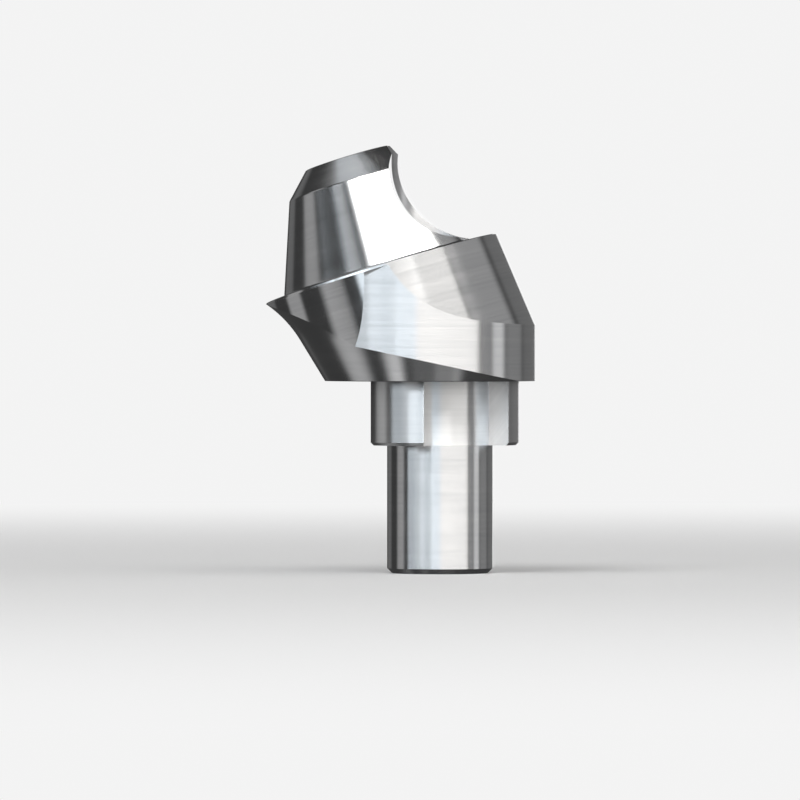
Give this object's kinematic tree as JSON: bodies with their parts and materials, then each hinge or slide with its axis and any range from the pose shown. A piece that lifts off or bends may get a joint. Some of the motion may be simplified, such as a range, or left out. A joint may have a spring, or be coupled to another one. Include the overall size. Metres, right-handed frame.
{
  "type": "dental abutment",
  "caption": "Angled dental abutment: bevelled cone on a tilted round platform, milled collar, lobed index and pilot below, with a vertical screw channel and a tilted tapped hole.",
  "frame": {"origin": "on the implant axis, at the underside of the body that sits on the implant", "axes": "+Z along the implant axis towards the mouth, the cone leans 17 degrees from it towards -X"},
  "size_m": [0.0054, 0.0048, 0.0085],
  "materials": {
    "titanium": "finely turned, polished"
  },
  "bodies": {
    "root": {"abutment_body": "titanium"}
  },
  "joints": []
}
